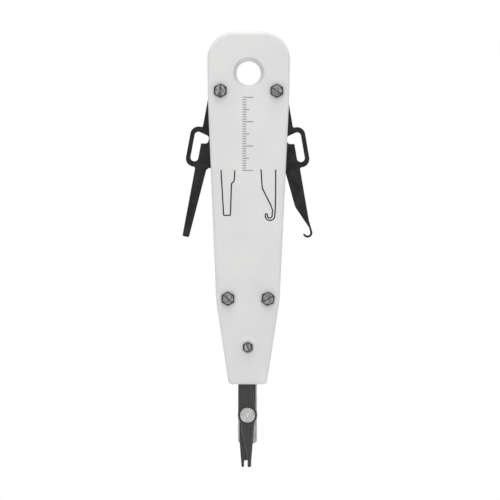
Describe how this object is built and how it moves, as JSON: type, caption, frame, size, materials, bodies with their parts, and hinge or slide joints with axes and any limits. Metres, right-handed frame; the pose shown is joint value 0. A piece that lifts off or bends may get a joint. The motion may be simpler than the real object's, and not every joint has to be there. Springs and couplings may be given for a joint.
{
  "type": "punch down tool",
  "caption": "Hand insertion tool for telecom terminal blocks: two-part moulded handle with hanging hole, sprung scissor head, and a spudger and wire hook that fold out of its sides.",
  "frame": {"origin": "centre of the hanging hole, half way through the handle's thickness", "axes": "+Z along the handle away from the blade tip, +X to the right seen from the front, -Y out of the front face"},
  "size_m": [0.0533, 0.0148, 0.1788],
  "materials": {
    "handle_plastic": "fine satin moulded",
    "black_steel": "black oxide, semi-matt",
    "blade_steel": "blackened tool steel, ground",
    "carrier_steel": "zinc plated sheet",
    "fastener_steel": "worn plating, dull",
    "screw_steel": "bright nickel",
    "bright_steel": "turned",
    "spring_steel": "oiled spring wire",
    "washer_nylon": "natural nylon"
  },
  "bodies": {
    "handle": {"front_shell": "handle_plastic", "rear_shell": "handle_plastic", "arm_pivot_bolts": "fastener_steel", "arm_pivot_nuts": "fastener_steel", "arm_sleeves": "bright_steel", "arm_washers": "washer_nylon", "case_bolts": "fastener_steel", "case_nuts": "fastener_steel", "nose_bolt": "fastener_steel", "nose_nut": "fastener_steel", "cam_bush": "bright_steel", "stop_plate": "carrier_steel", "main_spring": "spring_steel"},
    "head": {"head_carrier": "carrier_steel", "fork_blade": "blade_steel", "blade_rivet": "bright_steel", "blade_pivot_screw": "screw_steel", "blade_washer": "screw_steel", "blade_pivot_nut": "screw_steel", "spring_rod": "bright_steel", "spring_seat": "bright_steel", "retaining_clip": "spring_steel"},
    "cutter": {"cutter_blade": "blade_steel"},
    "spudger": {"spudger_arm": "black_steel"},
    "hook": {"hook_arm": "black_steel"}
  },
  "joints": [
    {"name": "head_slide", "type": "slide", "parent": "handle", "child": "head", "axis": [0, 0, 1], "range_m": [0, 0.006], "stiffness_N_per_m": 2300, "springref_m": -0.0025, "deforming": ["main_spring"]},
    {"name": "cutter_pivot", "type": "hinge", "parent": "head", "child": "cutter", "pos_m": [0, 0, -0.1404], "axis": [0, 1, 0], "range_deg": [0, 5.5]},
    {"name": "spudger_swing", "type": "hinge", "parent": "handle", "child": "spudger", "pos_m": [-0.0116, 0, -0.0073], "axis": [0, 1, 0], "range_deg": [-12.6, 107.4]},
    {"name": "hook_swing", "type": "hinge", "parent": "handle", "child": "hook", "pos_m": [0.0116, 0, -0.0073], "axis": [0, -1, 0], "range_deg": [-12.1, 107.9]}
  ],
  "couplings": [
    {"joint": "cutter_pivot", "follows": "head_slide", "rad_per_m": 15.999}
  ]
}
